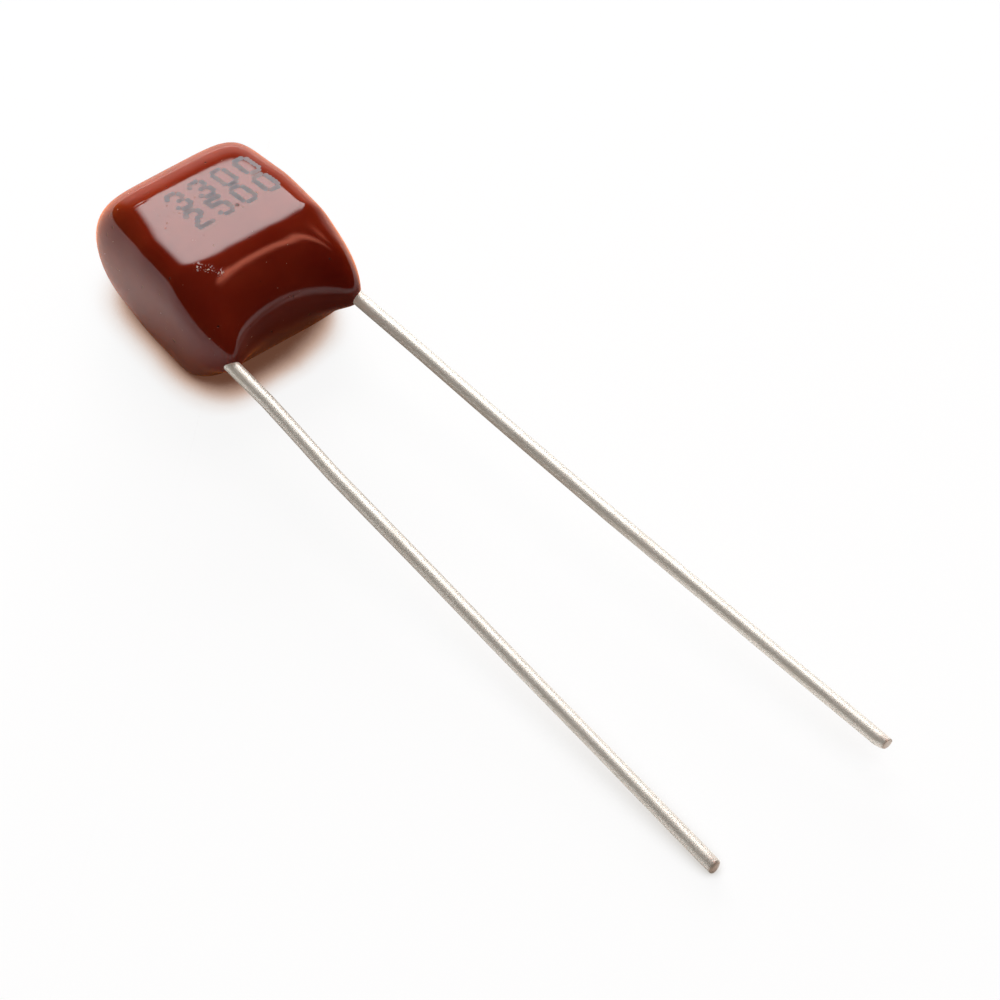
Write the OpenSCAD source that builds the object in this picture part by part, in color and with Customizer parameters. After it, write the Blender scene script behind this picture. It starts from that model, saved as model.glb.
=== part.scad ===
// Polyester film capacitor: a flattened roll of metallised film with a sprayed
// metal layer on each end, a tinned wire on each layer, and a dipped coat that
// runs a short way down both wires.
// Millimetres. +Z is up, the broad underside lies on z = 0, and the wires run
// towards -Y. The origin is the middle of the flat underside.

/* [Body] */
// Width of the coated body, across the two wires
body_w = 6.55; // [6.4:0.05:7.5]
// Length of the coated body, from the tips of its skirts to its back
body_l = 8.2; // [7.8:0.1:10]
// Thickness of the coated body, from the flat underside to the top
body_t = 4.7; // [4.3:0.1:6]
// How far the coat's skirts run down the wires from the front face
skirt_l = 0.8; // [0.4:0.1:1.2]
// Height of the slight crown of the top face
crown_h = 0.05; // [0.02:0.01:0.1]

/* [Edges of the body] */
// How far the rounding of each upper side edge reaches in from the side
side_round = 1.25; // [1:0.05:1.35]
// How far the rounding of the upper front edge reaches back from the front face
front_round = 2.1; // [1.7:0.05:2.2]
// How far the rounding of the upper back edge reaches forward from the back
back_round = 2.05; // [1.6:0.05:2.2]
// How much further out the flat underside reaches to each side than the top
under_side = 0.3; // [0:0.05:0.35]
// How much further out the flat underside reaches at the front
under_front = 0.45; // [0:0.05:0.5]
// How much further out the flat underside reaches at the back
under_back = 0.2; // [0:0.05:0.3]
// Squareness of the body seen from above, where 2 is an ellipse
plan_power = 6.5; // [5:0.5:8]
// Squareness of the flat faces seen from above
flat_power = 10; // [7:0.5:12]
// Roundness of the side edges, where 1 is an ellipse and less is squarer
side_power = 0.66; // [0.6:0.01:1]
// Roundness of the front edges
front_power = 1; // [0.8:0.01:1]
// Roundness of the back edges
back_power = 0.95; // [0.8:0.01:1]

/* [Leads] */
// Distance between the two wires where they leave the coat
lead_pitch = 5.08; // [4.8:0.01:5.2]
// Diameter of each wire
lead_d = 0.5; // [0.4:0.05:0.6]
// Length of the left wire beyond the coat
lead_l = 24.4; // [18:0.1:30]
// How much longer the right wire is
right_extra_l = 0.3; // [0:0.05:1]
// How far the wires leave the coat below the middle of its thickness
lead_drop = 0.12; // [0:0.01:0.2]
// Sideways lean of the left wire where it leaves the coat, in degrees
left_exit_lean = 2.6; // [1:0.1:5]
// Sideways lean of its short middle stretch, in degrees
left_mid_lean = 0.2; // [-0.6:0.1:0.6]
// Sideways lean of its long outer stretch, in degrees
left_lean = 2; // [1:0.1:4]
// Sideways lean of the right wire from straight ahead, in degrees
right_lean = 5.65; // [0:0.05:8]
// Bow of the right wire, as the turn half way along it, in degrees
right_bow = 0.9; // [0.1:0.1:3]
// Height of the right wire's tip above the surface the part lies on
right_tip_h = 0.77; // [0:0.01:1.5]

/* [Inside] */
// Coat over the flat sides of the film roll
wall_flat = 0.65; // [0.5:0.05:0.9]
// Coat in front of the film roll
wall_front = 0.8; // [0.7:0.05:1.2]
// Coat behind the film roll
wall_back = 0.8; // [0.7:0.05:1.2]
// Rounding of the film roll's two turned sides
roll_round = 1.4; // [1:0.05:1.5]
// Thickness of the metal layer sprayed on each end of the roll
spray_t = 0.35; // [0.2:0.05:0.5]
// Depth the wire is pressed into the sprayed layer
weld_sink = 0.12; // [0.05:0.01:0.2]
// Distance from the inner end of each wire to the back of the roll
foot_gap = 1; // [0.5:0.1:1.5]

/* [Hidden] */
$fn = 48;
plan_steps = 72;            // points round the body
edge_steps = 16;            // rings from the middle of the body to a flat face
crown_steps = 3;            // rings from the edge of the top face to its middle
skirt_in_w = 0.9;           // spread of a skirt towards the other wire
skirt_out_w = 0.5;          // spread of a skirt towards its own side
skirt_up_h = 1.8;           // spread of a skirt above its wire
skirt_down_h = 0.55;        // spread of a skirt below its wire
skirt_soft = 0.25;          // rounding of its ridge
skirt_start = 2.6;          // distance from the skirt tips where a skirt begins
skirt_fade = 1.6;           // distance over which it grows to its full size
bend_radius = 1.5;          // radius of every bend in a wire
exit_depth = 0.4;           // depth inside the coat at which a wire first bends
first_l = 2;                // length of the left wire up to its first slight bend
mid_l = 3.6;                // length of wire between its two slight bends
bend_fall_h = 0.02;         // what its bends add to the fall of the left wire

broadest = 0.37;            // share of the length at which the body is broadest
mid_z = body_t / 2;
lead_r = lead_d / 2;
half_w = body_w / 2;
lead_z = mid_z - lead_drop;
flat_half = half_w - side_round;
flat_front = skirt_l + front_round;
flat_back = body_l - back_round;
mid_y = skirt_l + broadest * (body_l - skirt_l);
origin_y = (flat_front - under_front + flat_back + under_back) / 2;
wire_y = mid_y - (mid_y - skirt_l)
    * pow(1 - pow(lead_pitch / 2 / half_w, plan_power), 1 / plan_power);

roll_t = body_t - 2 * wall_flat;
roll_front = skirt_l + wall_front;
roll_back = body_l - wall_back;
spray_x = lead_pitch / 2 - lead_r + weld_sink;
roll_x = spray_x - spray_t;
foot_l = roll_back - foot_gap - exit_depth;
left_run = lead_l + exit_depth;
right_run = left_run + right_extra_l;

// An S-shaped step from 0 to 1.
function ease(t) = let (c = min(1, max(0, t))) c * c * (3 - 2 * c);

// Distance from the middle to the body's outline in direction a.
function body_r(a) =
    let (b = sin(a) > 0 ? body_l - mid_y : mid_y - skirt_l)
    pow(pow(abs(cos(a)) / half_w, plan_power) + pow(abs(sin(a)) / b, plan_power),
        -1 / plan_power);

// Distance from the middle to the edge of a flat face in direction a, where under
// is 0 for the top face and 1 for the underside.
function flat_r(a, under) =
    let (b = sin(a) > 0 ? flat_back + under * under_back - mid_y
                        : mid_y - flat_front + under * under_front,
         c = flat_half + under * under_side)
    pow(pow(abs(cos(a)) / c, flat_power) + pow(abs(sin(a)) / b, flat_power),
        -1 / flat_power);

// Roundness of the edge in direction a.
function edge_power(a) =
    side_power + (front_power - side_power) * ease((-sin(a) - 0.3) / 0.5)
               + (back_power - side_power) * ease((sin(a) - 0.3) / 0.5);

// A value that falls from 1 as d leaves 0, over the spread below or above it.
function fall(d, below, above, power) =
    let (s = sqrt(d * d + skirt_soft * skirt_soft) - skirt_soft)
    exp(-pow(s / (d < 0 ? below : above), power));

// How strongly one wire draws the coat forward at x.
function ridge(x, side) = fall(side * x - lead_pitch / 2, skirt_in_w, skirt_out_w, 1.1);

// Distance a point is drawn forward along the wires into the skirts.
function skirt(x, y, z) =
    wire_y * (ridge(x, -1) + ridge(x, 1)) * fall(z + lead_drop, skirt_down_h, skirt_up_h, 1.5)
        * ease((skirt_start - y) / skirt_fade);

// A point of the coat: z is measured from the middle of its thickness.
function coat_point(x, y, z) =
    [x, y - skirt(x, y, z) - origin_y, z + mid_z];

// One ring round the body, part way from its middle to a flat face.
function edge_ring(part, half_t) =
    [for (i = [0:plan_steps - 1])
        let (a = 360 * (i + 0.5) / plan_steps,
             e = edge_power(a),
             flat = flat_r(a, part < 0 ? 1 : 0),
             r = flat + (body_r(a) - flat) * pow(cos(90 * part), e),
             z = half_t * pow(sin(90 * abs(part)), e))
        coat_point(r * cos(a), mid_y + r * sin(a), part < 0 ? -z : z)];

// One ring on the crowned top face, where size 1 is its edge.
function crown_ring(size) =
    [for (i = [0:plan_steps - 1])
        let (a = 360 * (i + 0.5) / plan_steps, r = size * flat_r(a, 0))
        coat_point(r * cos(a), mid_y + r * sin(a), mid_z - crown_h * size * size)];

// Two triangles for each step round between ring j and the ring above it.
function band(j) =
    [for (i = [0:plan_steps - 1], h = [0, 1])
        let (k = (i + 1) % plan_steps, a = j * plan_steps, b = a + plan_steps)
        h == 0 ? [a + i, b + i, b + k] : [a + i, b + k, a + k]];

// The coat with nothing taken out of it.
module coat_solid() {
    low = [for (j = [-edge_steps:-1]) edge_ring(j / edge_steps, mid_z)];
    high = [for (j = [0:edge_steps]) edge_ring(j / edge_steps, mid_z - crown_h)];
    top = [for (j = [1:crown_steps - 1]) crown_ring(1 - j / crown_steps)];
    rings = concat(low, high, top);
    last = len(rings) - 1;
    points = [for (ring = rings) each ring];
    count = len(points);
    middles = [coat_point(0, mid_y, mid_z), coat_point(0, mid_y, -mid_z)];
    bands = [for (j = [0:last - 1]) each band(j)];
    cap = [for (i = [0:plan_steps - 1])
        [last * plan_steps + i, count, last * plan_steps + (i + 1) % plan_steps]];
    under = [for (i = [0:plan_steps - 1]) [(i + 1) % plan_steps, count + 1, i]];
    polyhedron(concat(points, middles), concat(under, bands, cap));
}

// The roll's outline across its turns: flat sides and two turned sides.
module roll_outline() {
    half_l = (roll_back - roll_front) / 2;
    square([2 * half_l, roll_t - 2 * roll_round], center = true);
    square([2 * (half_l - roll_round), roll_t], center = true);
    for (side = [-1, 1], face = [-1, 1])
        translate([side * (half_l - roll_round), face * (roll_t / 2 - roll_round)])
            circle(r = roll_round);
}

// A length of the roll's shape along X from x.
module roll_slab(x, length) {
    translate([x, (roll_front + roll_back) / 2 - origin_y, mid_z])
        rotate([90, 0, 90])
            linear_extrude(height = length)
                roll_outline();
}

// A straight stretch of wire running towards -Y.
module wire(length) {
    rotate([90, 0, 0])
        cylinder(r = lead_r, h = length);
}

// A bend of the wire, towards +X if turn is above 0, with the children placed at
// its far end.
module bend(turn) {
    side = turn < 0 ? -1 : 1;
    a = abs(turn);
    rotate([0, turn < 0 ? 180 : 0, 0])
        translate([bend_radius, 0, 0])
            rotate([0, 0, 180])
                rotate_extrude(angle = a)
                    translate([bend_radius, 0])
                        circle(r = lead_r);
    translate([side * bend_radius * (1 - cos(a)), -bend_radius * sin(a), 0])
        rotate([0, 0, turn])
            children();
}

// A wire's foot on the sprayed layer and its bend where it leaves the coat, with
// the children placed beyond them. lift is the height its straight run ends at.
module lead_start(side, lean, lift, run_l) {
    slope = asin((lead_z - lead_r - lift) / run_l);
    turn = acos(cos(lean) * cos(slope));
    roll = atan2(sin(slope), sin(lean) * cos(slope));
    translate([side * lead_pitch / 2, exit_depth - origin_y, lead_z]) {
        rotate([180, 0, 0])
            wire(foot_l);
        rotate([0, roll, 0])
            bend(turn)
                rotate([0, -roll, 0])
                    children();
    }
}

// The left wire, whose two slight bends lead it round to its long outer stretch.
module left_wire() {
    lead_start(-1, left_exit_lean, bend_fall_h, left_run) {
        wire(first_l);
        translate([0, -first_l, 0])
            bend(left_mid_lean - left_exit_lean) {
                wire(mid_l);
                translate([0, -mid_l, 0])
                    bend(left_lean - left_mid_lean)
                        wire(left_run - first_l - mid_l);
            }
    }
}

// The right wire, whose two long stretches meet in a slight bend towards +X.
module right_wire() {
    half_l = right_run / 2;
    lead_start(1, right_lean - right_bow / 2, right_tip_h, right_run) {
        wire(half_l);
        translate([0, -half_l, 0])
            bend(right_bow)
                wire(half_l);
    }
}

module epoxy_coat() {
    color([0.36, 0.09, 0.05])
        difference() {
            coat_solid();
            roll_slab(-spray_x, 2 * spray_x);
            left_wire();
            right_wire();
        }
}

module film_winding() {
    color([0.80, 0.79, 0.74])
        roll_slab(-roll_x, 2 * roll_x);
}

module end_spray_left() {
    color([0.55, 0.55, 0.54])
        difference() {
            roll_slab(-spray_x, spray_t);
            left_wire();
        }
}

module end_spray_right() {
    color([0.55, 0.55, 0.54])
        difference() {
            roll_slab(roll_x, spray_t);
            right_wire();
        }
}

module lead_left() {
    color([0.75, 0.74, 0.71])
        left_wire();
}

module lead_right() {
    color([0.75, 0.74, 0.71])
        right_wire();
}

epoxy_coat();
film_winding();
end_spray_left();
end_spray_right();
lead_left();
lead_right();
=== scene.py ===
"""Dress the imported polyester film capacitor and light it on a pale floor.

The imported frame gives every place, in metres: +Z is up, the wires run towards
-Y, and the origin is the middle of the flat underside. The dipped coat, the
two wires and the ink are modelled here. The film roll and the sprayed metal
on its ends keep their solids and get a finish.
"""

import logging
import math
from dataclasses import dataclass, field
from enum import Enum

import bpy
from mathutils import Matrix, Vector, noise

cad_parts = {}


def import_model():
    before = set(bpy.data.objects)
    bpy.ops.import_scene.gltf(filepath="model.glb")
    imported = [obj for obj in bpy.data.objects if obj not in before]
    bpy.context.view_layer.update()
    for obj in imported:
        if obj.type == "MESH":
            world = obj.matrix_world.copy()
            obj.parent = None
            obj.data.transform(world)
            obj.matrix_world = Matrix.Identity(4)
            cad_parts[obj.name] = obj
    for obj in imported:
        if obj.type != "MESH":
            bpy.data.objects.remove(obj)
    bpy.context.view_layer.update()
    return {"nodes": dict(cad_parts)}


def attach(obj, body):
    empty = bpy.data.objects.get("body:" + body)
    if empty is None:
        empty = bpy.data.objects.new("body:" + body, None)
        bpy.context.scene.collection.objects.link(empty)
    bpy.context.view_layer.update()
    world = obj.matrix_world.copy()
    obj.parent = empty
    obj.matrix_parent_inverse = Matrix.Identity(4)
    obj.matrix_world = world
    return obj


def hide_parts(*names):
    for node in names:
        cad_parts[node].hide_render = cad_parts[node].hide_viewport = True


LOG = logging.getLogger("film_capacitor")
MM = 0.001
# Fixes the sways of the wires and the ink, which would else follow the clock.
NOISE_SEED = 1
Triple = tuple[float, float, float]
Socket = bpy.types.NodeSocket
# The place, in metres, that every light points at.
LIT_SPOT = Vector((0.0, -0.0004, 0.002))


class Slot(Enum):
    """The record's material slots."""

    EPOXY = "epoxy"
    FILM = "metallised_film"
    ZINC = "sprayed_zinc"
    WIRE = "tinned_wire"


class Cut(Enum):
    """How the free end of a wire was cut."""

    BLUNT = "blunt"
    PINCHED = "pinched"


def ease(t: float) -> float:
    """Rise smoothly from 0 to 1 as t does."""
    c = min(1.0, max(0.0, t))
    return c * c * (3.0 - 2.0 * c)


def deselect() -> None:
    """Leave object mode with nothing selected."""
    if bpy.context.object and bpy.context.object.mode != "OBJECT":
        bpy.ops.object.mode_set(mode="OBJECT")
    bpy.ops.object.select_all(action="DESELECT")


def select_only(piece: bpy.types.Object) -> None:
    """Make one object the only one selected, and the active one.

    Args:
        piece: The object to work on next.
    """
    deselect()
    piece.select_set(True)
    bpy.context.view_layer.objects.active = piece


def settle_place(piece: bpy.types.Object) -> None:
    """Put a piece's place into its mesh, so that its object sits at the origin.

    Args:
        piece: The object whose place, turn and scale are applied.
    """
    select_only(piece)
    bpy.ops.object.transform_apply(location=True, rotation=True, scale=True)


def apply_all(piece: bpy.types.Object) -> None:
    """Apply a piece's modifiers in their order.

    Args:
        piece: The object whose modifiers become part of its mesh.
    """
    select_only(piece)
    for name in [modifier.name for modifier in piece.modifiers]:
        bpy.ops.object.modifier_apply(modifier=name)


def triangles(piece: bpy.types.Object) -> int:
    """Return the number of triangles in a piece's mesh."""
    piece.data.calc_loop_triangles()
    return len(piece.data.loop_triangles)


@dataclass
class Shader:
    """A material's nodes, with positions in millimetres ready to use.

    Attributes:
        name: The material's name.
    """

    name: str
    material: bpy.types.Material = field(init=False)
    surface: bpy.types.ShaderNode = field(init=False)

    def __post_init__(self) -> None:
        """Make the material and its one surface shader."""
        self.material = bpy.data.materials.new(self.name)
        self.material.use_nodes = True
        self.surface = self.material.node_tree.nodes["Principled BSDF"]

    def add(self, kind: str, **values: object) -> bpy.types.ShaderNode:
        """Add a node.

        Args:
            kind: The node's type, without its ShaderNode prefix.
            values: Properties of the node, or values for its inputs where the
                name is an input's name with underscores for spaces.

        Returns:
            The new node.
        """
        node = self.material.node_tree.nodes.new("ShaderNode" + kind)
        for name, value in values.items():
            if hasattr(node, name):
                setattr(node, name, value)
            else:
                node.inputs[name.replace("_", " ")].default_value = value
        return node

    def link(self, start: Socket, end: Socket) -> None:
        """Join an output to an input."""
        self.material.node_tree.links.new(start, end)

    def place(
        self,
        scale: Triple = (1.0, 1.0, 1.0),
        offset: Triple = (0.0, 0.0, 0.0),
    ) -> Socket:
        """Give the point on the piece in millimetres, stretched and moved.

        Args:
            scale: How many pattern units one millimetre is along each axis.
            offset: Where the pattern is moved to, in pattern units.

        Returns:
            The vector output to read a pattern with.
        """
        coordinates = self.add("TexCoord")
        mapping = self.add("Mapping")
        mapping.inputs["Scale"].default_value = [s / MM for s in scale]
        mapping.inputs["Location"].default_value = offset
        self.link(coordinates.outputs["Object"], mapping.inputs["Vector"])
        return mapping.outputs["Vector"]

    def grain(
        self,
        scale: float,
        detail: float = 2.0,
        stretch: Triple = (1.0, 1.0, 1.0),
        offset: Triple = (0.0, 0.0, 0.0),
    ) -> Socket:
        """Give a soft noise of a size.

        Args:
            scale: Features in one millimetre.
            detail: How many finer layers the noise has.
            stretch: Extra scale along each axis.
            offset: Where the noise is moved to.

        Returns:
            The noise's factor output.
        """
        node = self.add("TexNoise", Scale=scale, Detail=detail)
        self.link(self.place(stretch, offset), node.inputs["Vector"])
        return node.outputs["Fac"]

    def near(
        self, spot: Triple, inner: float, outer: float
    ) -> Socket:
        """Give 1 near a spot and 0 away from it.

        Args:
            spot: The spot, in millimetres.
            inner: Distance within which the result is 1.
            outer: Distance beyond which it is 0.

        Returns:
            The nearness.
        """
        gap = self.add("VectorMath", operation="DISTANCE")
        self.link(self.place(), gap.inputs[0])
        gap.inputs[1].default_value = spot
        return self.ramp(gap.outputs["Value"], inner, outer, 1.0, 0.0)

    def ramp(
        self,
        factor: Socket,
        low: float,
        high: float,
        start: float = 0.0,
        end: float = 1.0,
    ) -> Socket:
        """Map a range of a factor to another, and hold it outside that range.

        Args:
            factor: The output to read.
            low: Factor at which the result is start.
            high: Factor at which the result is end.
            start: Result at and before low.
            end: Result at and past high.

        Returns:
            The mapped value.
        """
        node = self.add("MapRange", clamp=True)
        self.link(factor, node.inputs["Value"])
        node.inputs["From Min"].default_value = low
        node.inputs["From Max"].default_value = high
        node.inputs["To Min"].default_value = start
        node.inputs["To Max"].default_value = end
        return node.outputs["Result"]

    def maths(
        self,
        operation: str,
        first: Socket | float,
        second: Socket | float,
    ) -> Socket:
        """Join two values with a sum.

        Args:
            operation: The Math node's operation.
            first: Its first value, a socket or a number.
            second: Its second value, a socket or a number.

        Returns:
            The result.
        """
        node = self.add("Math", operation=operation)
        for socket, value in zip(node.inputs, (first, second)):
            if isinstance(value, Socket):
                self.link(value, socket)
            else:
                socket.default_value = value
        return node.outputs["Value"]

    def blend(
        self,
        factor: Socket,
        first: Socket | Triple,
        second: Socket | Triple,
    ) -> Socket:
        """Blend two colours.

        Args:
            factor: 0 for the first colour and 1 for the second.
            first: A colour or a colour output.
            second: A colour or a colour output.

        Returns:
            The blended colour.
        """
        node = self.add("Mix", data_type="RGBA")
        self.link(factor, node.inputs["Factor"])
        for name, value in (("A", first), ("B", second)):
            socket = [s for s in node.inputs if s.name == name and s.type == "RGBA"][0]
            if isinstance(value, Socket):
                self.link(value, socket)
            else:
                socket.default_value = (*value, 1.0)
        return [s for s in node.outputs if s.type == "RGBA"][0]

    def relief(
        self,
        height: Socket,
        depth: float,
        below: Socket | None = None,
    ) -> Socket:
        """Turn a height into a bump.

        Args:
            height: The height, where 1 is the full depth.
            depth: The depth in millimetres.
            below: The normal of a bump that this one lies on.

        Returns:
            The bumped normal.
        """
        node = self.add("Bump")
        node.inputs["Distance"].default_value = depth * MM
        node.inputs["Strength"].default_value = 1.0
        self.link(height, node.inputs["Height"])
        if below is not None:
            self.link(below, node.inputs["Normal"])
        return node.outputs["Normal"]


@dataclass(frozen=True)
class EpoxyFinish:
    """Glossy dipped epoxy, a deep brown-red that glows a little at thin edges.

    Attributes:
        deep: The colour of most of the coat.
        warm: The colour of its thinner, warmer patches.
        speck: The colour of fine dust caught in the skin.
        gloss: Roughness of the clean skin.
        painted_glint: The near-white painted glint on the tiny beads, as if each caught the light.
        beads: Where those beads lie, in millimetres.
        folds: Where the skin has dried in fine folds.
        pit: Where it has a small pit, painted dark.
        pit_shade: The painted shade laid in its pits, a near black.
        glow: The tint of the light that skims its edges.
    """

    deep: Triple = (0.185, 0.010, 0.003)
    warm: Triple = (0.24, 0.019, 0.006)
    speck: Triple = (0.55, 0.30, 0.22)
    gloss: float = 0.055
    painted_glint: Triple = (0.85, 0.70, 0.68)
    beads: tuple[Triple, ...] = (
        (-2.0, -1.78, 4.6),
        (-1.75, -2.03, 4.56),
        (-1.5, -2.3, 4.48),
    )
    folds: Triple = (-2.05, 1.8, 4.6)
    pit: Triple = (0.59, -0.29, 4.7)
    pit_shade: Triple = (0.03, 0.004, 0.003)
    glow: Triple = (1.0, 0.24, 0.03)

    def make(self) -> bpy.types.Material:
        """Build the material.

        Returns:
            The finished material.
        """
        shader = Shader("dipped_epoxy")
        surface = shader.surface
        clouds = shader.ramp(shader.grain(0.45, 3.0), 0.35, 0.68)
        colour = shader.blend(clouds, self.deep, self.warm)
        dust = shader.ramp(shader.grain(8.0, 1.0), 0.775, 0.815)
        colour = shader.blend(dust, colour, self.speck)
        # Painted glint: a row of tiny raised beads is painted near white, as if each caught the
        # light.
        row = shader.near(self.beads[0], 0.06, 0.2)
        for spot in self.beads[1:]:
            row = shader.maths("MAXIMUM", row, shader.near(spot, 0.06, 0.2))
        beads = shader.maths("MULTIPLY", row, shader.ramp(shader.grain(15.0, 0.0), 0.58, 0.68))
        colour = shader.blend(beads, colour, self.painted_glint)
        # Painted shade: the pits, sunk by the bump below, are painted near black.
        pits = shader.ramp(shader.grain(6.0, 0.0, offset=(31.0, 7.0, 3.0)), 0.83, 0.87)
        pits = shader.maths("MAXIMUM", pits, shader.near(self.pit, 0.03, 0.08))
        colour = shader.blend(pits, colour, self.pit_shade)
        shader.link(colour, surface.inputs["Base Color"])
        haze = shader.ramp(shader.grain(2.2, 4.0), 0.3, 0.75, self.gloss, self.gloss + 0.05)
        rough = shader.maths("MAXIMUM", haze, shader.maths("MULTIPLY", dust, 0.4))
        shader.link(rough, surface.inputs["Roughness"])
        peel = shader.relief(shader.grain(1.3, 1.0), 0.003)
        fine = shader.relief(shader.grain(9.0, 2.0), 0.0006, peel)
        folds = shader.maths(
            "MULTIPLY", shader.near(self.folds, 0.1, 0.6), shader.grain(9.0, 0.0, (0.2, 1.0, 1.0))
        )
        folded = shader.relief(folds, 0.006, fine)
        lumps = shader.maths("MAXIMUM", dust, beads)
        specks = shader.relief(shader.maths("SUBTRACT", lumps, pits), 0.01, folded)
        shader.link(specks, surface.inputs["Normal"])
        surface.inputs["IOR"].default_value = 1.52
        surface.inputs["Subsurface Weight"].default_value = 0.45
        surface.inputs["Subsurface Radius"].default_value = (1.0, 0.2, 0.08)
        surface.inputs["Subsurface Scale"].default_value = 0.6 * MM
        surface.inputs["Sheen Weight"].default_value = 1.0
        surface.inputs["Sheen Roughness"].default_value = 0.35
        surface.inputs["Sheen Tint"].default_value = (*self.glow, 1.0)
        return shader.material


@dataclass(frozen=True)
class InkFinish:
    """Matt grey stamping ink, thin enough to let the coat's colour through.

    Attributes:
        full: The colour where the ink is thick.
        thin: The colour where it has worn.
    """

    full: Triple = (0.235, 0.22, 0.235)
    thin: Triple = (0.29, 0.19, 0.18)

    def make(self) -> bpy.types.Material:
        """Build the material.

        Returns:
            The finished material.
        """
        shader = Shader("grey_ink")
        wear = shader.ramp(shader.grain(3.5, 3.0), 0.42, 0.72)
        shader.link(shader.blend(wear, self.full, self.thin), shader.surface.inputs["Base Color"])
        shader.link(shader.ramp(wear, 0.0, 1.0, 0.5, 0.3), shader.surface.inputs["Roughness"])
        shader.link(shader.relief(shader.grain(12.0, 2.0), 0.002), shader.surface.inputs["Normal"])
        shader.surface.inputs["IOR"].default_value = 1.4
        return shader.material


@dataclass(frozen=True)
class TinnedFinish:
    """Bright tinned wire with drawn lines, small nicks, a browner cut end and a faint painted
    glow.

    Attributes:
        bright: The colour of clean tin.
        dull: The colour of the duller streaks.
        cut: The colour of the cut ends.
        tip: Where the cut ends begin, in millimetres along Y.
        lift: Strength of the painted glow, a faint light the wire emits itself to lift its darkest
            reflections.
        painted_glow_tint: The colour of that painted glow.
    """

    bright: Triple = (0.95, 0.925, 0.86)
    dull: Triple = (0.74, 0.69, 0.60)
    cut: Triple = (0.34, 0.22, 0.16)
    tip: float = -29.03
    lift: float = 0.13
    painted_glow_tint: Triple = (1.0, 0.88, 0.72)

    def make(self) -> bpy.types.Material:
        """Build the material.

        Returns:
            The finished material.
        """
        shader = Shader("tinned_wire")
        surface = shader.surface
        surface.inputs["Metallic"].default_value = 0.78
        # Painted glow: the wire emits a faint warm light of its own, which lifts its darkest
        # reflections.
        surface.inputs["Emission Color"].default_value = (*self.painted_glow_tint, 1.0)
        surface.inputs["Emission Strength"].default_value = self.lift
        streaks = shader.ramp(shader.grain(6.0, 3.0, (1.0, 0.06, 1.0)), 0.42, 0.72)
        patches = shader.ramp(shader.grain(1.1, 3.0), 0.46, 0.72)
        dullness = shader.maths("MULTIPLY", streaks, patches)
        colour = shader.blend(dullness, self.bright, self.dull)
        along = shader.add("SeparateXYZ")
        shader.link(shader.place(), along.inputs["Vector"])
        end = shader.ramp(along.outputs["Y"], self.tip, self.tip - 0.09)
        colour = shader.blend(end, colour, self.cut)
        shader.link(colour, surface.inputs["Base Color"])
        rough = shader.ramp(shader.grain(3.0, 4.0, (1.0, 0.2, 1.0)), 0.3, 0.75, 0.49, 0.56)
        shader.link(rough, surface.inputs["Roughness"])
        lines = shader.relief(shader.grain(3.0, 0.0, (1.0, 0.03, 1.0)), 0.00015)
        nicks = shader.ramp(shader.grain(1.6, 0.0, offset=(5.0, 2.0, 9.0)), 0.62, 0.86)
        shader.link(shader.relief(nicks, 0.0012, lines), surface.inputs["Normal"])
        return shader.material


@dataclass(frozen=True)
class FilmFinish:
    """The metallised film roll, with its turns showing as fine silver lines.

    Attributes:
        metal: The colour of the film's metal side.
        edge: The colour of the clear film between two turns.
    """

    metal: Triple = (0.66, 0.65, 0.62)
    edge: Triple = (0.40, 0.37, 0.31)

    def make(self) -> bpy.types.Material:
        """Build the material.

        Returns:
            The finished material.
        """
        shader = Shader("metallised_film")
        surface = shader.surface
        turns = shader.add("TexWave", wave_type="RINGS", rings_direction="X")
        turns.inputs["Scale"].default_value = 4.0
        turns.inputs["Distortion"].default_value = 0.6
        shader.link(shader.place((1.0, 0.62, 1.0), (0.0, -0.1, -2.35)), turns.inputs["Vector"])
        colour = shader.blend(turns.outputs["Fac"], self.edge, self.metal)
        shader.link(colour, surface.inputs["Base Color"])
        surface.inputs["Metallic"].default_value = 0.7
        rough = shader.ramp(shader.grain(2.0), 0.3, 0.7, 0.25, 0.4)
        shader.link(rough, surface.inputs["Roughness"])
        shader.link(shader.relief(turns.outputs["Fac"], 0.004), surface.inputs["Normal"])
        return shader.material


@dataclass(frozen=True)
class ZincFinish:
    """Matt sprayed zinc, a dull grey with a coarse sprayed grain.

    Attributes:
        light: The colour of the sprayed beads.
        dark: The colour of the gaps between them.
    """

    light: Triple = (0.50, 0.50, 0.49)
    dark: Triple = (0.25, 0.25, 0.25)

    def make(self) -> bpy.types.Material:
        """Build the material.

        Returns:
            The finished material.
        """
        shader = Shader("sprayed_zinc")
        beads = shader.grain(9.0, 4.0)
        colour = shader.blend(shader.ramp(beads, 0.35, 0.65), self.dark, self.light)
        shader.link(colour, shader.surface.inputs["Base Color"])
        shader.link(shader.ramp(beads, 0.3, 0.7, 0.7, 0.5), shader.surface.inputs["Roughness"])
        shader.link(shader.relief(beads, 0.03), shader.surface.inputs["Normal"])
        shader.surface.inputs["Metallic"].default_value = 0.6
        return shader.material


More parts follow.
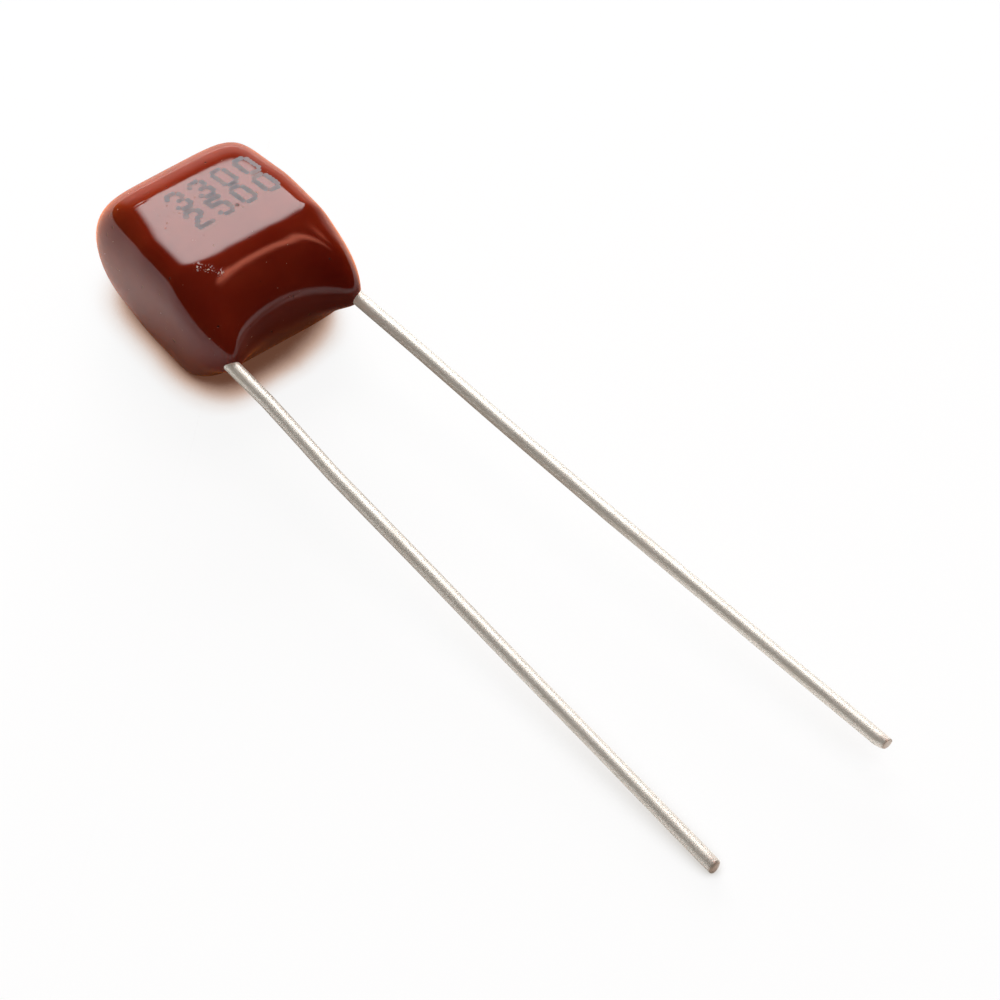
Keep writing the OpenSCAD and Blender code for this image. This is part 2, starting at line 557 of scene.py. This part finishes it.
@dataclass(frozen=True)
class FloorFinish:
    """A white floor that shows the camera a painted shadow, warm by the coat and grey by the
    wires.

    Attributes:
        reach: How far the painted shadow reaches, in millimetres.
        dark: The painted shadow's colour where the coat meets the floor.
        middle: The painted shadow's colour further out.
        pale: The colour where the warm painted shadow ends.
        grey: The painted shadow's colour below a wire.
        glow: How brightly the floor and its painted shadow show to the camera.
        bounce: The colour that lights and mirrors the part.
        dim: A painted shade that takes that colour's place in front of the part, so the part
            mirrors a shadowed floor.
    """

    reach: float = 1.7
    dark: Triple = (0.14, 0.058, 0.034)
    middle: Triple = (0.60, 0.41, 0.32)
    pale: Triple = (0.87, 0.80, 0.76)
    grey: Triple = (0.70, 0.68, 0.65)
    glow: float = 0.91
    bounce: Triple = (0.82, 0.82, 0.82)
    dim: Triple = (0.17, 0.13, 0.11)

    def _sky(self, shader: Shader) -> Socket:
        """Give how open the floor is, from 0 under the part to about 1 far from it.

        Args:
            shader: The floor's nodes.

        Returns:
            The openness, a little lower by the near wire and higher by the far one to shape the
            painted shadow.
        """
        open_air = shader.add("AmbientOcclusion", samples=24)
        open_air.inputs["Distance"].default_value = self.reach * MM
        # These two spots bend the openness, so the painted shadow is deeper by the near wire and
        # fainter by the far one.
        darker = shader.ramp(shader.near((-1.2, -4.5, 0.0), 1.4, 4.6), 0.0, 1.0, 0.0, 0.12)
        lighter = shader.ramp(shader.near((3.3, -3.5, 0.0), 0.8, 3.0), 0.0, 1.0, 0.0, 0.17)
        shift = shader.maths("SUBTRACT", darker, lighter)
        return shader.maths("SUBTRACT", open_air.outputs["AO"], shift)

    def make(self) -> bpy.types.Material:
        """Build the material.

        Returns:
            The finished material.
        """
        shader = Shader("white_floor")
        surface, white = shader.surface, (1.0, 1.0, 1.0)
        # Painted shadow: the ramps below turn the floor's openness into the shadow colours the
        # camera sees, warm by the coat.
        sky = self._sky(shader)
        warm = shader.blend(shader.ramp(sky, 0.27, 0.47), self.dark, self.middle)
        warm = shader.blend(shader.ramp(sky, 0.45, 0.60), warm, self.pale)
        warm = shader.blend(shader.ramp(sky, 0.56, 0.77), warm, white)
        # Painted shadow below the wires, grey fading to white.
        painted_wire_shadow = shader.blend(shader.ramp(sky, 0.35, 0.85), self.grey, white)
        painted_shadow_tone = shader.blend(shader.near((0.0, -0.4, 0.0), 6.0, 9.0), painted_wire_shadow, warm)
        seen = shader.add("LightPath").outputs["Is Camera Ray"]
        # Painted shade: the camera's share of lit floor is darker where the floor is closed in.
        camera_painted_shade = shader.blend(shader.ramp(sky, 0.3, 0.9), (0.03, 0.015, 0.010), (0.09, 0.09, 0.09))
        # Painted shade: every other ray finds the floor darkened in front of the part.
        other_rays_painted_shade = shader.blend(shader.near((2.0, -9.5, 0.0), 4.5, 11.0), self.bounce, self.dim)
        shader.link(shader.blend(seen, other_rays_painted_shade, camera_painted_shade), surface.inputs["Base Color"])
        shader.link(painted_shadow_tone, surface.inputs["Emission Color"])
        strength = shader.maths("MULTIPLY", seen, self.glow)
        shader.link(strength, surface.inputs["Emission Strength"])
        surface.inputs["Roughness"].default_value = 0.95
        surface.inputs["Specular IOR Level"].default_value = 0.0
        return shader.material


@dataclass
class Coat:
    """The dipped coat, with the same sizes as its solid, in millimetres.

    Attributes:
        width: Across the two wires.
        length: From the tips of the skirts to the back.
        thickness: From the flat underside to the top.
        front: Distance from the skirt tips to the front face.
        crown: Height of the crown of the top face.
        pitch: Distance between the wires.
        wire_drop: How far the wires lie below the middle of the thickness.
        origin: Distance from the skirt tips to the frame's origin.
        side_round: How far the rounding of each side edge reaches in.
        front_round: How far the rounding of the front edge reaches back.
        back_round: How far the rounding of the back edge reaches forward.
        under: How much further the underside's flat reaches to each side, to
            the front and to the back than the top's.
        plan_power: Squareness of the body seen from above.
        flat_power: Squareness of its flat faces.
        side_power: Roundness of its side edges, where 1 is an ellipse.
        front_power: Roundness of its front edges.
        back_power: Roundness of its back edges.
        broadest: Share of the length at which the body is broadest.
        skirt_wide: Spread of a skirt towards the other wire and outwards.
        skirt_high: Spread of a skirt below its wire and above it.
        skirt_soft: Rounding of a skirt's ridge.
        skirt_reach: Where a skirt begins, and over what distance it grows.
        flat_share: Share of a ball's rise given to the rounded edges.
        swell: Height of the skin's slow unevenness, of its quick unevenness
            and the depth by which both are lowered.
    """

    width: float = 6.55
    length: float = 8.2
    thickness: float = 4.7
    front: float = 0.8
    crown: float = 0.05
    pitch: float = 5.08
    wire_drop: float = 0.12
    origin: float = 4.4
    side_round: float = 1.25
    front_round: float = 2.1
    back_round: float = 2.05
    under: Triple = (0.3, 0.45, 0.2)
    plan_power: float = 6.5
    flat_power: float = 10.0
    side_power: float = 0.66
    front_power: float = 1.0
    back_power: float = 0.95
    broadest: float = 0.37
    skirt_wide: tuple[float, float] = (0.9, 0.5)
    skirt_high: tuple[float, float] = (0.55, 1.8)
    skirt_soft: float = 0.25
    skirt_reach: tuple[float, float] = (2.6, 1.6)
    flat_share: float = 0.74
    swell: Triple = (0.011, 0.002, 0.003)

    @property
    def middle(self) -> float:
        """Distance from the skirt tips to the broadest place."""
        return self.front + self.broadest * (self.length - self.front)

    def _superellipse(
        self, turn: float, half: float, ahead: float, behind: float, power: float
    ) -> float:
        """Return the distance to a squared-off outline in one direction.

        Args:
            turn: Direction from the middle, in radians from +X.
            half: The outline's half width.
            ahead: Its reach towards -Y.
            behind: Its reach towards +Y.
            power: Its squareness.

        Returns:
            The distance in millimetres.
        """
        reach = behind if math.sin(turn) > 0.0 else ahead
        across = (abs(math.cos(turn)) / half) ** power
        along = (abs(math.sin(turn)) / reach) ** power
        return (across + along) ** (-1.0 / power)

    def _edge_power(self, turn: float) -> float:
        """Return the roundness of the edge in one direction."""
        ahead = ease((-math.sin(turn) - 0.3) / 0.5)
        behind = ease((math.sin(turn) - 0.3) / 0.5)
        power = self.side_power
        power += (self.front_power - self.side_power) * ahead
        return power + (self.back_power - self.side_power) * behind

    def _fall(self, away: float, spreads: tuple[float, float], power: float) -> float:
        """Return a value that falls from 1 as a distance leaves 0.

        Args:
            away: The distance in millimetres.
            spreads: The spread below 0 and above it.
            power: How squarely it falls.

        Returns:
            The value, from 0 to 1.
        """
        rounded = math.hypot(away, self.skirt_soft) - self.skirt_soft
        return math.exp(-((rounded / spreads[0 if away < 0.0 else 1]) ** power))

    def _skirt(self, x: float, y: float, z: float) -> float:
        """Return how far a point is drawn along the wires.

        Args:
            x: Distance from the middle, across the wires.
            y: Distance from the skirt tips.
            z: Height over the middle of the thickness.

        Returns:
            The distance towards -Y in millimetres.
        """
        half, reach = self.width / 2.0, self.middle - self.front
        share = 1.0 - (self.pitch / 2.0 / half) ** self.plan_power
        tip = self.middle - reach * share ** (1.0 / self.plan_power)
        ridges = sum(
            self._fall(side * x - self.pitch / 2.0, self.skirt_wide, 1.1) for side in (-1.0, 1.0)
        )
        height = self._fall(z + self.wire_drop, self.skirt_high, 1.5)
        start, fade = self.skirt_reach
        return tip * ridges * height * ease((start - y) / fade)

    def _crown_fall(self, x: float, y: float) -> float:
        """Return how far the top lies below its middle.

        Args:
            x: Distance from the middle, across the wires.
            y: Distance from the skirt tips.

        Returns:
            The fall in millimetres.
        """
        ahead, behind = self.front + self.front_round, self.length - self.back_round
        across = x / (self.width / 2.0 - self.side_round)
        along = (2.0 * y - ahead - behind) / (behind - ahead)
        return self.crown * (across * across + along * along) / 2.0

    def point(self, turn: float, rise: float) -> Vector:
        """Give the place on the coat for two angles of a ball.

        Args:
            turn: Direction in plan, in radians from +X.
            rise: From -1 at the middle of the underside to 1 at the top's.

        Returns:
            The place in metres.
        """
        half_t = self.thickness / 2.0
        top = rise > 0.0
        wider, ahead, behind = (0.0, 0.0, 0.0) if top else self.under
        flat = self._superellipse(
            turn,
            self.width / 2.0 - self.side_round + wider,
            self.middle - self.front - self.front_round + ahead,
            self.length - self.back_round - self.middle + behind,
            self.flat_power,
        )
        share = abs(rise) / self.flat_share
        if share <= 1.0:
            body = self._superellipse(
                turn,
                self.width / 2.0,
                self.middle - self.front,
                self.length - self.middle,
                self.plan_power,
            )
            angle = math.pi / 2.0 * share
            power = self._edge_power(turn)
            reach = flat + (body - flat) * max(0.0, math.cos(angle)) ** power
            height = half_t * math.sin(angle) ** power
        else:
            reach = flat * (1.0 - abs(rise)) / (1.0 - self.flat_share)
            height = half_t
        x, y = reach * math.cos(turn), self.middle + reach * math.sin(turn)
        if top:
            height -= self._crown_fall(x, y) * height / half_t
        z = height if top else -height
        y -= self._skirt(x, y, z)
        return Vector((x, y - self.origin, z + half_t)) * MM

    def _waves(self, place: Vector) -> float:
        """Return the small unevenness of a dipped skin at a place, in metres."""
        spot = place / MM
        slow = noise.noise(Vector((spot.x * 0.42, spot.y * 0.42, spot.z * 0.42 + 3.1)))
        quick = noise.noise(Vector((spot.x * 1.1 + 7.3, spot.y * 1.1, spot.z * 1.1)))
        lift = ease(spot.z / 0.6)
        slow_h, quick_h, sink = self.swell
        return (slow_h * slow + quick_h * quick - sink) * lift * MM

    def build(self) -> bpy.types.Object:
        """Model the coat.

        Returns:
            The closed skin, with its place in its mesh.
        """
        deselect()
        middle = Vector((0.0, self.middle - self.origin, self.thickness / 2.0)) * MM
        bpy.ops.mesh.primitive_uv_sphere_add(
            segments=168, ring_count=112, radius=self.width / 2.0 * MM, location=middle
        )
        skin = bpy.context.object
        skin.name = "dipped_coat"
        settle_place(skin)
        for vertex in skin.data.vertices:
            ray = (vertex.co - middle).normalized()
            rise = math.asin(max(-1.0, min(1.0, ray.z))) / (math.pi / 2.0)
            vertex.co = self.point(math.atan2(ray.y, ray.x), rise)
        soft = skin.modifiers.new("soften", "SMOOTH")
        soft.factor = 0.5
        soft.iterations = 6
        smooth = skin.modifiers.new("even_out", "SUBSURF")
        smooth.levels = smooth.render_levels = 1
        apply_all(skin)
        lifts = [(v.co.copy(), v.normal.copy()) for v in skin.data.vertices]
        for vertex, (place, normal) in zip(skin.data.vertices, lifts):
            vertex.co = place + normal * self._waves(place)
        skin.data.shade_smooth()
        return skin


@dataclass
class Marking:
    """Plain numbers in grey ink dots on the top face.

    Attributes:
        rows: The numbers in each row, from the back row to the front one.
        dot: Radius of one dot, in millimetres.
        step: Distance between two dots.
        letter: Width given to one digit.
        corner: Where the back row's first digit starts.
        line: Distance from one row to the next.
        indent: How much further in each row starts than the one behind it.
        slant: How far the digits lean back, as a share of their height.
        sway: How far a dot strays from its place.
        uneven: How much the dots differ in size, as a share.
        film: Thickness of the ink.
        digits: Each digit as rows of dots, where 1 is a dot.
    """

    rows: tuple[str, ...] = ("3300", "2500")
    dot: float = 0.098
    step: tuple[float, float] = (0.118, 0.140)
    letter: float = 0.92
    corner: tuple[float, float] = (-1.08, 1.5)
    line: float = 1.05
    indent: float = 0.06
    slant: float = 0.17
    sway: float = 0.02
    uneven: float = 0.22
    film: float = 0.004
    digits: dict[str, tuple[str, ...]] = field(
        default_factory=lambda: {
            "0": ("01110", "10001", "10001", "10001", "10001", "10001", "01110"),
            "2": ("01110", "10001", "00001", "00110", "01000", "10000", "11111"),
            "3": ("01110", "10001", "00001", "00110", "00001", "10001", "01110"),
            "5": ("11111", "10000", "11110", "00001", "00001", "10001", "01110"),
        }
    )

    def _spots(self) -> list[Vector]:
        """List where the dots lie, in millimetres.

        Returns:
            Each dot's place in plan.
        """
        spots: list[Vector] = []
        for row, text in enumerate(self.rows):
            start = self.corner[0] + row * self.indent
            for index, letter in enumerate(text):
                for down, cells in enumerate(self.digits[letter]):
                    for across, cell in enumerate(cells):
                        if cell == "0":
                            continue
                        x = start + index * self.letter + across * self.step[0]
                        x += self.slant * (down - 3) * self.step[1]
                        y = self.corner[1] - row * self.line - down * self.step[1]
                        sway = noise.noise_vector(Vector((x * 2.1, y * 2.1, 4.0))) * self.sway
                        spots.append(Vector((x + sway.x, y + sway.y, 0.0)))
        return spots

    def build(self, coat: bpy.types.Object) -> bpy.types.Object:
        """Model the ink as a thin film on the coat.

        Args:
            coat: The coat that the ink lies on.

        Returns:
            The ink, with its place in its mesh.
        """
        deselect()
        bpy.ops.mesh.primitive_circle_add(
            vertices=14, radius=self.dot * MM, fill_type="TRIFAN", location=(0.0, 0.0, 6.0 * MM)
        )
        dot = bpy.context.object
        settle_place(dot)
        dots = [dot]
        spots = self._spots()
        for spot in spots[1:]:
            twin = dot.copy()
            twin.data = dot.data.copy()
            bpy.context.collection.objects.link(twin)
            twin.location = spot * MM
            dots.append(twin)
        dot.location = spots[0] * MM
        for index, piece in enumerate(dots):
            size = 1.0 + self.uneven * noise.noise(Vector((index * 0.37, 1.7, 0.2)))
            piece.scale = (size, size, 1.0)
        deselect()
        for piece in dots:
            piece.select_set(True)
        bpy.context.view_layer.objects.active = dot
        bpy.ops.object.join()
        ink = bpy.context.object
        ink.name = "ink_numbers"
        settle_place(ink)
        wrap = ink.modifiers.new("lie_on_coat", "SHRINKWRAP")
        wrap.target = coat
        wrap.wrap_method = "PROJECT"
        wrap.use_project_z = True
        wrap.use_negative_direction = True
        wrap.use_positive_direction = False
        wrap.offset = self.film * MM
        apply_all(ink)
        ink.data.shade_smooth()
        return ink


@dataclass
class Lead:
    """One wire, from its foot on the sprayed metal to its cut tip.

    Attributes:
        name: The piece's name.
        side: -1 for the left wire and 1 for the right one.
        lean: Sideways lean of its first stretch, in degrees.
        slope: How steeply it falls, in degrees.
        legs: Its free stretches, each a length and the turn at its end in
            degrees.
        cut: How its tip was cut.
        radius: Half its thickness.
        pitch: Distance between the two wires.
        height: How high it leaves the coat.
        bend: Radius of its bends.
        foot: Where its foot starts and ends along Y.
        sway: How far it strays from its centre line.
        pinches: For each step of a pinched tip, its length, how much flatter
            it is than the one before and how far it rises.
        rounds: For each ring of a blunt tip, its steps inwards and onwards.
    """

    name: str
    side: float
    lean: float
    slope: float
    legs: tuple[tuple[float, float], ...]
    cut: Cut
    radius: float = 0.25
    pitch: float = 5.08
    height: float = 2.23
    bend: float = 1.5
    foot: tuple[float, float] = (2.0, -4.0)
    sway: float = 0.025
    pinches: tuple[Triple, ...] = (
        (0.14, 0.96, 0.003),
        (0.12, 0.9, 0.008),
        (0.10, 0.86, 0.01),
    )
    rounds: tuple[tuple[float, float], ...] = (
        (0.015, 0.035),
        (0.03, 0.03),
        (0.05, 0.018),
        (0.06, -0.012),
    )

    def _arc(self, path: list[tuple[Vector, Vector]], after: Vector, steps: int = 4) -> None:
        """Carry a centre line round a bend.

        Args:
            path: The places and directions so far, which this adds to.
            after: The direction at the end of the bend.
            steps: How many places the bend has.
        """
        here, before = path[-1]
        length = self.bend * before.angle(after)
        for index in range(steps):
            ahead = before.slerp(after, (index + 0.5) / steps)
            here = here + ahead * (length / steps)
            path.append((here.copy(), before.slerp(after, (index + 1.0) / steps)))

    def stations(self) -> list[tuple[Vector, Vector]]:
        """List the wire's centre line.

        Returns:
            Each place and the wire's direction there, in millimetres.
        """
        x = self.side * self.pitch / 2.0
        ahead = Vector((0.0, -1.0, 0.0))
        path = [(Vector((x, y, self.height)), ahead.copy()) for y in self.foot]
        a, b = math.radians(self.lean), math.radians(self.slope)
        first = Vector((math.sin(a) * math.cos(b), -math.cos(a) * math.cos(b), -math.sin(b)))
        self._arc(path, first)
        for length, degrees in self.legs:
            here, ahead = path[-1]
            steps = math.ceil(length / 0.45)
            for index in range(1, steps + 1):
                path.append((here + ahead * (length * index / steps), ahead.copy()))
            if degrees:
                self._arc(path, Matrix.Rotation(math.radians(degrees), 3, "Z") @ ahead)
        return path

    def _sway(self, place: Vector) -> Vector:
        """Return the wire's slight unevenness at a place, in millimetres."""
        along = Vector((place.y * 0.16, self.side * 5.0, 0.4))
        grow = ease((-place.y - 5.0) / 4.0) * ease((place.y + 29.3) / 3.0)
        return noise.noise_vector(along) * self.sway * grow

    def build(self) -> bpy.types.Object:
        """Model the wire by drawing a round end along its centre line.

        Returns:
            The wire, with its place in its mesh.
        """
        deselect()
        path = self.stations()
        bpy.ops.mesh.primitive_circle_add(
            vertices=32,
            radius=self.radius * MM,
            fill_type="NGON",
            location=path[0][0] * MM,
            rotation=(math.pi / 2.0, 0.0, 0.0),
        )
        wire = bpy.context.object
        wire.name = self.name
        settle_place(wire)
        bpy.ops.object.mode_set(mode="EDIT")
        bpy.ops.mesh.select_all(action="SELECT")
        last, before = path[0]
        last = last + self._sway(last)
        for place, ahead in path[1:]:
            place = place + self._sway(place)
            step = (place - last) * MM
            bpy.ops.mesh.extrude_region_move(TRANSFORM_OT_translate={"value": step})
            self._turn_end(place, before, ahead)
            last, before = place, ahead
        self._finish_tip(last, before)
        bpy.ops.mesh.select_all(action="SELECT")
        bpy.ops.mesh.normals_make_consistent(inside=False)
        bpy.ops.object.mode_set(mode="OBJECT")
        wire.data.shade_smooth()
        bpy.ops.object.shade_smooth_by_angle(angle=math.radians(40.0))
        return wire

    def _turn_end(self, place: Vector, before: Vector, after: Vector) -> None:
        """Turn the selected end to face along the wire.

        Args:
            place: The end's centre, in millimetres.
            before: The direction that it faces.
            after: The direction that it is turned to.
        """
        across = math.atan2(after.x, -after.y) - math.atan2(before.x, -before.y)
        down = math.asin(after.z) - math.asin(before.z)
        centre = place * MM
        if abs(across) > 1e-7:
            self._spin(-across, "Z", centre)
        if abs(down) > 1e-7:
            self._spin(down, "X", centre)

    @staticmethod
    def _spin(angle: float, axis: str, centre: Vector) -> None:
        """Turn what is selected by an angle, about an axis through a centre."""
        bpy.ops.transform.rotate(value=angle, orient_axis=axis, center_override=centre)

    def _finish_tip(self, place: Vector, ahead: Vector) -> None:
        """Shape the cut end, which is the selected face.

        Args:
            place: The end's centre, in millimetres.
            ahead: The direction that it faces.
        """
        centre = place * MM
        if self.cut is Cut.PINCHED:
            for length, flatter, lift in self.pinches:
                shift = (ahead * length + Vector((0.012, 0.0, lift))) * MM
                bpy.ops.mesh.extrude_region_move(TRANSFORM_OT_translate={"value": shift})
                centre = centre + shift
                bpy.ops.transform.resize(value=(0.93, 1.0, flatter), center_override=centre)
            self._spin(math.radians(4.0), "Z", centre)
            bpy.ops.mesh.inset(thickness=0.025 * MM, depth=0.008 * MM)
            bpy.ops.mesh.inset(thickness=0.05 * MM, depth=-0.012 * MM)
            return
        self._spin(math.radians(-14.0), "Z", centre)
        for inwards, onwards in self.rounds:
            bpy.ops.mesh.inset(thickness=inwards * MM, depth=onwards * MM)


@dataclass
class Core:
    """The film roll and the sprayed metal on its ends, which keep their solids.

    Attributes:
        nodes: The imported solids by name.
        roll: The node of the film roll.
        sprays: The nodes of the sprayed metal.
    """

    nodes: dict[str, bpy.types.Object]
    roll: str = "film_winding"
    sprays: tuple[str, ...] = ("end_spray_left", "end_spray_right")

    def dress(self, film: bpy.types.Material, zinc: bpy.types.Material) -> None:
        """Give the inner solids their finishes.

        Args:
            film: The finish of the film roll.
            zinc: The finish of the sprayed metal.
        """
        for name in (self.roll, *self.sprays):
            node = self.nodes[name]
            node.data.materials.clear()
            node.data.materials.append(film if name == self.roll else zinc)


@dataclass
class SoftBox:
    """A soft area light, with its place given from the middle of the body.

    Attributes:
        name: The light's name.
        turn: Its direction in plan, in degrees from +Y towards +X.
        rise: Its height over the horizon, in degrees.
        reach: Its distance in metres.
        size: Its width and height in metres.
        glow: Its brightness, where 1 is as bright as a white floor.
        fades: Shares of its size over which it fades out at its left, right,
            lower and upper edge.
        gloss: Whether it shows in glossy surfaces.
        tint: Its colour.
    """

    name: str
    turn: float
    rise: float
    reach: float
    size: tuple[float, float]
    glow: float
    fades: tuple[float, float, float, float] = (0.05, 0.05, 0.05, 0.05)
    gloss: bool = True
    tint: Triple = (1.0, 1.0, 1.0)

    def build(self) -> bpy.types.Object:
        """Place the light.

        Returns:
            The light's object.
        """
        turn, rise = math.radians(self.turn), math.radians(self.rise)
        away = Vector(
            (math.sin(turn) * math.cos(rise), math.cos(turn) * math.cos(rise), math.sin(rise))
        )
        lamp = bpy.data.lights.new(self.name, "AREA")
        lamp.shape = "RECTANGLE"
        lamp.size, lamp.size_y = self.size
        lamp.color = self.tint
        lamp.energy = self.glow * math.pi * self.size[0] * self.size[1]
        self._fade(lamp)
        light = bpy.data.objects.new(self.name, lamp)
        bpy.context.scene.collection.objects.link(light)
        light.location = LIT_SPOT + away * self.reach
        light.rotation_euler = (-away).to_track_quat("-Z", "Y").to_euler()
        light.visible_camera = False
        light.visible_glossy = self.gloss
        return light

    def _fade(self, lamp: bpy.types.Light) -> None:
        """Fade the light out towards its edges.

        Args:
            lamp: The light that gets the fade.
        """
        lamp.use_nodes = True
        tree = lamp.node_tree
        glow = tree.nodes["Emission"]
        spot = tree.nodes.new("ShaderNodeNewGeometry")
        parts = tree.nodes.new("ShaderNodeSeparateXYZ")
        tree.links.new(spot.outputs["Parametric"], parts.inputs["Vector"])
        last = None
        for index, share in enumerate(self.fades):
            edge = tree.nodes.new("ShaderNodeMapRange")
            edge.interpolation_type = "SMOOTHSTEP"
            start, end = (0.0, share) if index % 2 == 0 else (1.0, 1.0 - share)
            edge.inputs["From Min"].default_value = start
            edge.inputs["From Max"].default_value = end
            tree.links.new(parts.outputs[index // 2], edge.inputs["Value"])
            if last is not None:
                both = tree.nodes.new("ShaderNodeMath")
                both.operation = "MULTIPLY"
                tree.links.new(last, both.inputs[0])
                tree.links.new(edge.outputs["Result"], both.inputs[1])
                last = both.outputs["Value"]
            else:
                last = edge.outputs["Result"]
        tree.links.new(last, glow.inputs["Strength"])


@dataclass
class Studio:
    """The pale floor, the soft lights, the dim room and the camera.

    Attributes:
        turn: The camera's direction, in degrees from -Y towards -X.
        rise: Its height over the horizon, in degrees.
        roll: Its turn about its own axis, in degrees.
        reach: Its distance, in millimetres.
        scale: Pixels to a millimetre at the point it looks at.
        spot: The pixel at which that point shows.
        target: That point in the frame, in millimetres.
        dimness: How bright the room is where no light stands.
        lights: The lights.
    """

    turn: float = -34.65
    rise: float = 48.75
    roll: float = -2.48
    reach: float = 160.0
    scale: float = 30.08
    spot: tuple[float, float] = (297.32, 331.68)
    target: Triple = (0.0, -4.4, 2.35)
    dimness: float = 0.02
    lights: tuple[SoftBox, ...] = (
        SoftBox("top_box", 30.0, 51.5, 0.4, (0.39, 0.18), 5.9, (0.05, 0.42, 0.04, 0.45)),
        SoftBox("back_wall", 42.0, 18.0, 0.5, (1.05, 0.36), 0.6, (0.2, 0.2, 0.02, 0.6)),
        SoftBox(
            "front_strip",
            125.0,
            58.5,
            0.4,
            (0.09, 0.2),
            6.0,
            (0.5, 0.5, 0.7, 0.25),
            tint=(1.0, 0.29, 0.18),
        ),
        SoftBox(
            "side_strip",
            100.0,
            46.0,
            0.4,
            (0.13, 0.13),
            2.4,
            (0.5, 0.5, 0.5, 0.5),
            tint=(1.0, 0.26, 0.15),
        ),
        SoftBox("back_glow", 30.0, 11.0, 0.4, (0.3, 0.2), 20.0, gloss=False),
        SoftBox("ceiling_fill", 0.0, 90.0, 0.6, (1.2, 1.2), 0.4, gloss=False),
    )

    def build(self) -> None:
        """Make the floor, the lights, the room and the camera."""
        self._floor()
        for light in self.lights:
            light.build()
        self._room()
        self._camera()

    def _floor(self) -> None:
        """Lay a wide pale floor."""
        deselect()
        bpy.ops.mesh.primitive_plane_add(size=3.0, location=(0.0, 0.0, 0.0))
        floor = bpy.context.object
        floor.name = "floor"
        floor.data.materials.append(FloorFinish().make())

    def _room(self) -> None:
        """Set a dim room that still shows white behind the part."""
        world = bpy.data.worlds.new("room")
        bpy.context.scene.world = world
        world.use_nodes = True
        tree = world.node_tree
        tree.nodes.clear()
        end = tree.nodes.new("ShaderNodeOutputWorld")
        dim = tree.nodes.new("ShaderNodeBackground")
        white = tree.nodes.new("ShaderNodeBackground")
        choice = tree.nodes.new("ShaderNodeMixShader")
        path = tree.nodes.new("ShaderNodeLightPath")
        dim.inputs["Color"].default_value = (self.dimness,) * 3 + (1.0,)
        white.inputs["Color"].default_value = (1.0, 1.0, 1.0, 1.0)
        tree.links.new(path.outputs["Is Camera Ray"], choice.inputs[0])
        tree.links.new(dim.outputs[0], choice.inputs[1])
        tree.links.new(white.outputs[0], choice.inputs[2])
        tree.links.new(choice.outputs[0], end.inputs["Surface"])

    def _camera(self) -> None:
        """Place the camera and make it the scene's."""
        turn, rise, roll = (math.radians(v) for v in (self.turn, self.rise, self.roll))
        back = Vector(
            (math.sin(turn) * math.cos(rise), -math.cos(turn) * math.cos(rise), math.sin(rise))
        )
        flat = Vector((math.cos(turn), math.sin(turn), 0.0))
        up = back.cross(flat)
        right = flat * math.cos(roll) + up * math.sin(roll)
        top = up * math.cos(roll) - flat * math.sin(roll)
        place = Vector(self.target) + back * self.reach
        place -= right * ((self.spot[0] - 500.0) / self.scale)
        place += top * ((self.spot[1] - 500.0) / self.scale)
        lens = bpy.data.cameras.new("camera")
        lens.sensor_width = 36.0
        lens.lens = self.scale * self.reach / 1000.0 * 36.0
        lens.clip_start = 0.001
        lens.clip_end = 10.0
        camera = bpy.data.objects.new("camera", lens)
        bpy.context.scene.collection.objects.link(camera)
        matrix = Matrix((right, top, back)).transposed().to_4x4()
        matrix.translation = place * MM
        camera.matrix_world = matrix
        bpy.context.scene.camera = camera


@dataclass
class FilmCapacitor:
    """The whole part: its coat, ink, wires and core.

    Attributes:
        nodes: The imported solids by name.
    """

    nodes: dict[str, bpy.types.Object]

    def build(self) -> None:
        """Build and dress every piece, and hide the solids that each one stands for."""
        coat = Coat().build()
        self._enter(coat, EpoxyFinish().make(), Slot.EPOXY, "epoxy_coat")
        ink = Marking().build(coat)
        self._enter(ink, InkFinish().make(), Slot.EPOXY)
        tin = TinnedFinish().make()
        left_legs = ((2.0, -2.4), (3.6, 1.8), (19.3, 0.0))
        left = Lead("wire_left", -1.0, 2.6, 4.533, left_legs, Cut.BLUNT)
        right_legs = ((12.55, 0.9), (12.15, 0.0))
        right = Lead("wire_right", 1.0, 5.2, 2.77, right_legs, Cut.PINCHED)
        self._enter(left.build(), tin, Slot.WIRE, "lead_left")
        self._enter(right.build(), tin, Slot.WIRE, "lead_right")
        Core(self.nodes).dress(FilmFinish().make(), ZincFinish().make())

    def _enter(
        self, piece: bpy.types.Object, finish: bpy.types.Material, slot: Slot, *stands_for: str
    ) -> None:
        """Dress a piece, hang it under the root and hide the solids it stands for.

        Args:
            piece: The finished piece.
            finish: Its material.
            slot: Not used.
            stands_for: The solids that it replaces.
        """
        piece.data.materials.clear()
        piece.data.materials.append(finish)
        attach(piece, "root")
        if stands_for:
            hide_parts(*stands_for)
        LOG.info("%s: %d triangles", piece.name, triangles(piece))


def main() -> None:
    """Load the frame, and build the part and its studio."""
    logging.basicConfig(level=logging.INFO, format="%(message)s")
    noise.seed_set(NOISE_SEED)
    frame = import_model()
    bpy.context.scene.view_settings.view_transform = "Standard"
    FilmCapacitor(frame["nodes"]).build()
    Studio().build()


if __name__ == "__main__":
    main()
